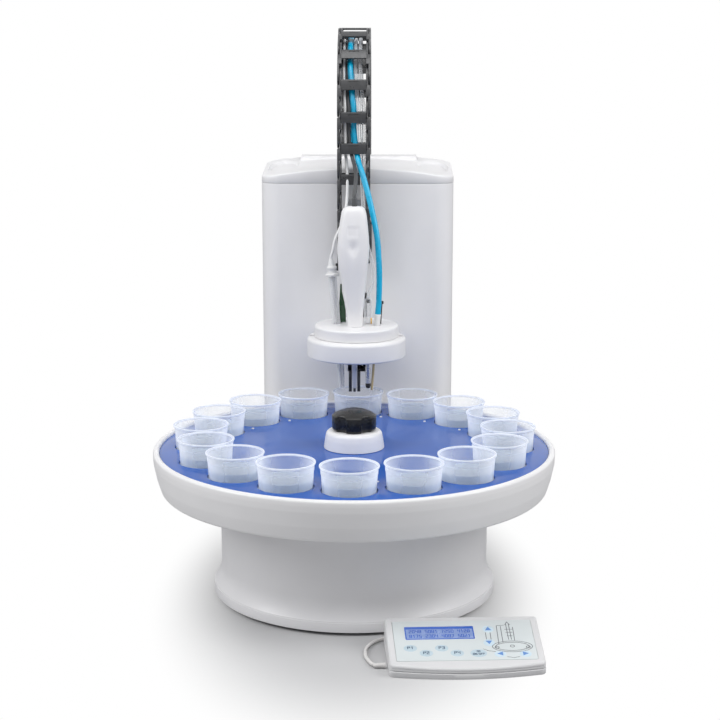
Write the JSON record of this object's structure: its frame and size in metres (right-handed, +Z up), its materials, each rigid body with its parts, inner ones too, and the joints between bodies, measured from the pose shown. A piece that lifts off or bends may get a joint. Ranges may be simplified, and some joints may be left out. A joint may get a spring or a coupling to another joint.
{
  "type": "sample changer",
  "caption": "Free-standing carousel sample changer: a turning tray of beakers, a lifting electrode holder on a tower, a cable chain over its top and a loose keypad.",
  "frame": {"origin": "centre of the foot pad under the tray's axis, on the surface that the device stands on", "axes": "+Z up along the tray's axis, -Y towards the front, where the keypad lies, +X to the right seen from the front"},
  "size_m": [0.447, 0.7229, 0.6224],
  "materials": {
    "white_plastic": "fine satin",
    "white_metal": "white satin paint",
    "black_plastic": "satin",
    "grey_steel": "matt",
    "bare_steel": "ground",
    "blue_plate": "mirror gloss",
    "clear_plastic": "frosted clear",
    "clear_glass": "polished",
    "green_strip": "satin",
    "hose_blue": "smooth",
    "dark_cable": "matt",
    "pale_cord": "satin",
    "overlay_print": "smooth film"
  },
  "bodies": {
    "base": {"base_housing": "white_plastic", "base_plate": "grey_steel", "tower_housing": "white_plastic", "tower_cap": "white_plastic", "rear_panel": "white_plastic", "turntable_motor": "grey_steel", "lift_frame": "bare_steel", "handset_base": "white_plastic", "handset_top": "white_plastic", "handset_overlay": "overlay_print", "handset_cord": "pale_cord", "cord_coil": "pale_cord"},
    "tray": {"turntable_shaft": "bare_steel", "tray_bowl": "white_plastic", "tray_plate": "blue_plate", "tray_hub": "white_plastic", "beaker_01": "clear_plastic", "beaker_02": "clear_plastic", "beaker_03": "clear_plastic", "beaker_04": "clear_plastic", "beaker_05": "clear_plastic", "beaker_06": "clear_plastic", "beaker_07": "clear_plastic", "beaker_08": "clear_plastic", "beaker_09": "clear_plastic", "beaker_10": "clear_plastic", "beaker_11": "clear_plastic", "beaker_12": "clear_plastic", "beaker_13": "clear_plastic", "beaker_14": "clear_plastic", "beaker_15": "clear_plastic", "beaker_16": "clear_plastic"},
    "knob": {"hand_knob": "black_plastic"},
    "arm": {"lift_arm": "white_metal", "holder_ring": "white_plastic", "holder_disc": "white_plastic", "glass_electrode": "clear_glass", "strip_electrode": "green_strip", "temperature_probe": "clear_glass", "stirrer_housing": "white_plastic", "dosing_tube": "hose_blue", "stirrer_cable": "dark_cable", "electrode_cable": "pale_cord", "chain_mount": "black_plastic", "chain_link_01": "black_plastic", "chain_link_02": "black_plastic", "chain_link_03": "black_plastic"},
    "stirrer": {"stirrer_shaft": "bare_steel"},
    "screw": {"lead_screw": "bare_steel"},
    "chain_arch": {"tube_arch": "hose_blue", "chain_link_04": "black_plastic", "chain_link_05": "black_plastic", "chain_link_06": "black_plastic", "chain_link_07": "black_plastic", "chain_link_08": "black_plastic", "chain_link_09": "black_plastic", "chain_link_10": "black_plastic"},
    "chain_end": {"chain_tail": "black_plastic", "tube_tail": "hose_blue"},
    "switch": {"power_switch": "black_plastic"}
  },
  "joints": [
    {"name": "tray_spin", "type": "hinge", "parent": "base", "child": "tray", "pos_m": [0, 0, 0.14], "axis": [0, 0, 1], "continuous": true},
    {"name": "knob_turn", "type": "hinge", "parent": "tray", "child": "knob", "pos_m": [0, 0, 0.19], "axis": [0, 0, 1], "continuous": true},
    {"name": "arm_lift", "type": "slide", "parent": "base", "child": "arm", "axis": [0, 0, 1], "range_m": [-0.034, 0.0404]},
    {"name": "stirrer_spin", "type": "hinge", "parent": "arm", "child": "stirrer", "pos_m": [-0.0022, 0.157, 0.28], "axis": [0, 0, 1], "continuous": true},
    {"name": "screw_turn", "type": "hinge", "parent": "base", "child": "screw", "pos_m": [0, 0.292, 0.28], "axis": [0, 0, 1], "range_deg": [-620, 735]},
    {"name": "arch_tilt", "type": "hinge", "parent": "arm", "child": "chain_arch", "pos_m": [-0.004, 0.217, 0.528], "axis": [-1, 0, 0], "range_deg": [-12, 14.2]},
    {"name": "end_tilt", "type": "hinge", "parent": "chain_arch", "child": "chain_end", "pos_m": [-0.004, 0.38414, 0.53123], "axis": [-1, 0, 0], "range_deg": [-14.2, 12]},
    {"name": "switch_rock", "type": "hinge", "parent": "base", "child": "switch", "pos_m": [-0.052, 0.3635, 0.185], "axis": [1, 0, 0], "range_deg": [-8, 8]}
  ],
  "couplings": [
    {"joint": "screw_turn", "follows": "arm_lift", "rad_per_m": 314.16},
    {"joint": "arch_tilt", "follows": "arm_lift", "rad_per_m": 6.0322},
    {"joint": "end_tilt", "follows": "arm_lift", "rad_per_m": -6.0322}
  ]
}
